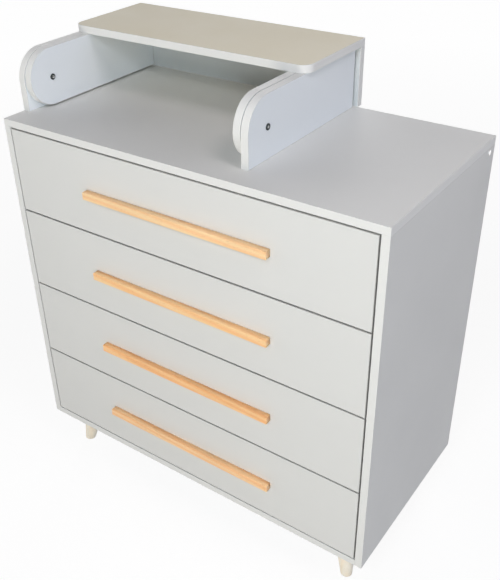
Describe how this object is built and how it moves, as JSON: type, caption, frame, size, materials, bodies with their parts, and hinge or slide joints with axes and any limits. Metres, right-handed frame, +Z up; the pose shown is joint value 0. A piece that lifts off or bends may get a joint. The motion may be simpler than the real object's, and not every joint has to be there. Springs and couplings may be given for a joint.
{
  "type": "changing dresser",
  "caption": "Chest of full-width drawers on splayed turned legs, with a board between cheeks on top that flips over to the front for changing a baby.",
  "frame": {"origin": "on the floor, under the middle of the overall box", "axes": "+Z up, -Y out of the drawer fronts, +X to the right seen from the front"},
  "size_m": [0.9072, 0.4794, 1.0504],
  "materials": {
    "melamine": "white melamine foil on particle board",
    "box_board": "white foil on thin particle board",
    "hardboard": "white lacquered hardboard",
    "handle_wood": "clear satin lacquer",
    "leg_wood": "clear satin lacquer",
    "runner_steel": "white powder coat",
    "zinc_steel": "bright zinc plate",
    "nylon": "white nylon"
  },
  "bodies": {
    "carcass": {"back_board": "hardboard", "bottom_panel": "melamine", "carcass_runners_left": "runner_steel", "carcass_runners_right": "runner_steel", "connector_screws": "zinc_steel", "leg_front_left": "leg_wood", "leg_front_right": "leg_wood", "leg_plates": "zinc_steel", "leg_rear_left": "leg_wood", "leg_rear_right": "leg_wood", "pivot_bolts": "zinc_steel", "pivot_sleeves": "zinc_steel", "pivot_washers": "nylon", "rear_rail": "melamine", "screw_caps": "nylon", "side_panel_left": "melamine", "side_panel_right": "melamine", "top_panel": "melamine", "topper_cheek_left": "melamine", "topper_cheek_right": "melamine"},
    "swing_frame": {"swing_board": "melamine", "swing_cheek_left": "melamine", "swing_cheek_right": "melamine", "swing_rail": "melamine"},
    "drawer_1": {"drawer_1_back": "box_board", "drawer_1_bottom": "hardboard", "drawer_1_front": "melamine", "drawer_1_handle": "handle_wood", "drawer_1_runners": "runner_steel", "drawer_1_side_left": "box_board", "drawer_1_side_right": "box_board"},
    "front_rollers_1": {"front_rollers_1": "nylon"},
    "rear_rollers_1": {"rear_rollers_1": "nylon"},
    "drawer_2": {"drawer_2_back": "box_board", "drawer_2_bottom": "hardboard", "drawer_2_front": "melamine", "drawer_2_handle": "handle_wood", "drawer_2_runners": "runner_steel", "drawer_2_side_left": "box_board", "drawer_2_side_right": "box_board"},
    "front_rollers_2": {"front_rollers_2": "nylon"},
    "rear_rollers_2": {"rear_rollers_2": "nylon"},
    "drawer_3": {"drawer_3_back": "box_board", "drawer_3_bottom": "hardboard", "drawer_3_front": "melamine", "drawer_3_handle": "handle_wood", "drawer_3_runners": "runner_steel", "drawer_3_side_left": "box_board", "drawer_3_side_right": "box_board"},
    "front_rollers_3": {"front_rollers_3": "nylon"},
    "rear_rollers_3": {"rear_rollers_3": "nylon"},
    "drawer_4": {"drawer_4_back": "box_board", "drawer_4_bottom": "hardboard", "drawer_4_front": "melamine", "drawer_4_handle": "handle_wood", "drawer_4_runners": "runner_steel", "drawer_4_side_left": "box_board", "drawer_4_side_right": "box_board"},
    "front_rollers_4": {"front_rollers_4": "nylon"},
    "rear_rollers_4": {"rear_rollers_4": "nylon"}
  },
  "joints": [
    {"name": "board_flip", "type": "hinge", "parent": "carcass", "child": "swing_frame", "pos_m": [-0.1506, -0.10616, 0.9714], "axis": [1, 0, 0], "range_deg": [0, 180]},
    {"name": "drawer_1_slide", "type": "slide", "parent": "carcass", "child": "drawer_1", "axis": [0, -1, 0], "range_m": [0, 0.28]},
    {"name": "front_rollers_1_spin", "type": "hinge", "parent": "carcass", "child": "front_rollers_1", "pos_m": [0.0024, -0.19367, 0.7417], "axis": [1, 0, 0], "range_deg": [0, 1830]},
    {"name": "rear_rollers_1_spin", "type": "hinge", "parent": "drawer_1", "child": "rear_rollers_1", "pos_m": [0.0024, 0.16834, 0.7223], "axis": [1, 0, 0], "range_deg": [0, 1830]},
    {"name": "drawer_2_slide", "type": "slide", "parent": "carcass", "child": "drawer_2", "axis": [0, -1, 0], "range_m": [0, 0.28]},
    {"name": "front_rollers_2_spin", "type": "hinge", "parent": "carcass", "child": "front_rollers_2", "pos_m": [0.0024, -0.19367, 0.5497], "axis": [1, 0, 0], "range_deg": [0, 1830]},
    {"name": "rear_rollers_2_spin", "type": "hinge", "parent": "drawer_2", "child": "rear_rollers_2", "pos_m": [0.0024, 0.16834, 0.5303], "axis": [1, 0, 0], "range_deg": [0, 1830]},
    {"name": "drawer_3_slide", "type": "slide", "parent": "carcass", "child": "drawer_3", "axis": [0, -1, 0], "range_m": [0, 0.28]},
    {"name": "front_rollers_3_spin", "type": "hinge", "parent": "carcass", "child": "front_rollers_3", "pos_m": [0.0024, -0.19367, 0.3577], "axis": [1, 0, 0], "range_deg": [0, 1830]},
    {"name": "rear_rollers_3_spin", "type": "hinge", "parent": "drawer_3", "child": "rear_rollers_3", "pos_m": [0.0024, 0.16834, 0.3383], "axis": [1, 0, 0], "range_deg": [0, 1830]},
    {"name": "drawer_4_slide", "type": "slide", "parent": "carcass", "child": "drawer_4", "axis": [0, -1, 0], "range_m": [0, 0.28]},
    {"name": "front_rollers_4_spin", "type": "hinge", "parent": "carcass", "child": "front_rollers_4", "pos_m": [0.0024, -0.19367, 0.1657], "axis": [1, 0, 0], "range_deg": [0, 1830]},
    {"name": "rear_rollers_4_spin", "type": "hinge", "parent": "drawer_4", "child": "rear_rollers_4", "pos_m": [0.0024, 0.16834, 0.1463], "axis": [1, 0, 0], "range_deg": [0, 1830]}
  ],
  "couplings": [
    {"joint": "front_rollers_1_spin", "follows": "drawer_1_slide", "rad_per_m": 113.64},
    {"joint": "rear_rollers_1_spin", "follows": "drawer_1_slide", "rad_per_m": 113.64},
    {"joint": "front_rollers_2_spin", "follows": "drawer_2_slide", "rad_per_m": 113.64},
    {"joint": "rear_rollers_2_spin", "follows": "drawer_2_slide", "rad_per_m": 113.64},
    {"joint": "front_rollers_3_spin", "follows": "drawer_3_slide", "rad_per_m": 113.64},
    {"joint": "rear_rollers_3_spin", "follows": "drawer_3_slide", "rad_per_m": 113.64},
    {"joint": "front_rollers_4_spin", "follows": "drawer_4_slide", "rad_per_m": 113.64},
    {"joint": "rear_rollers_4_spin", "follows": "drawer_4_slide", "rad_per_m": 113.64}
  ]
}
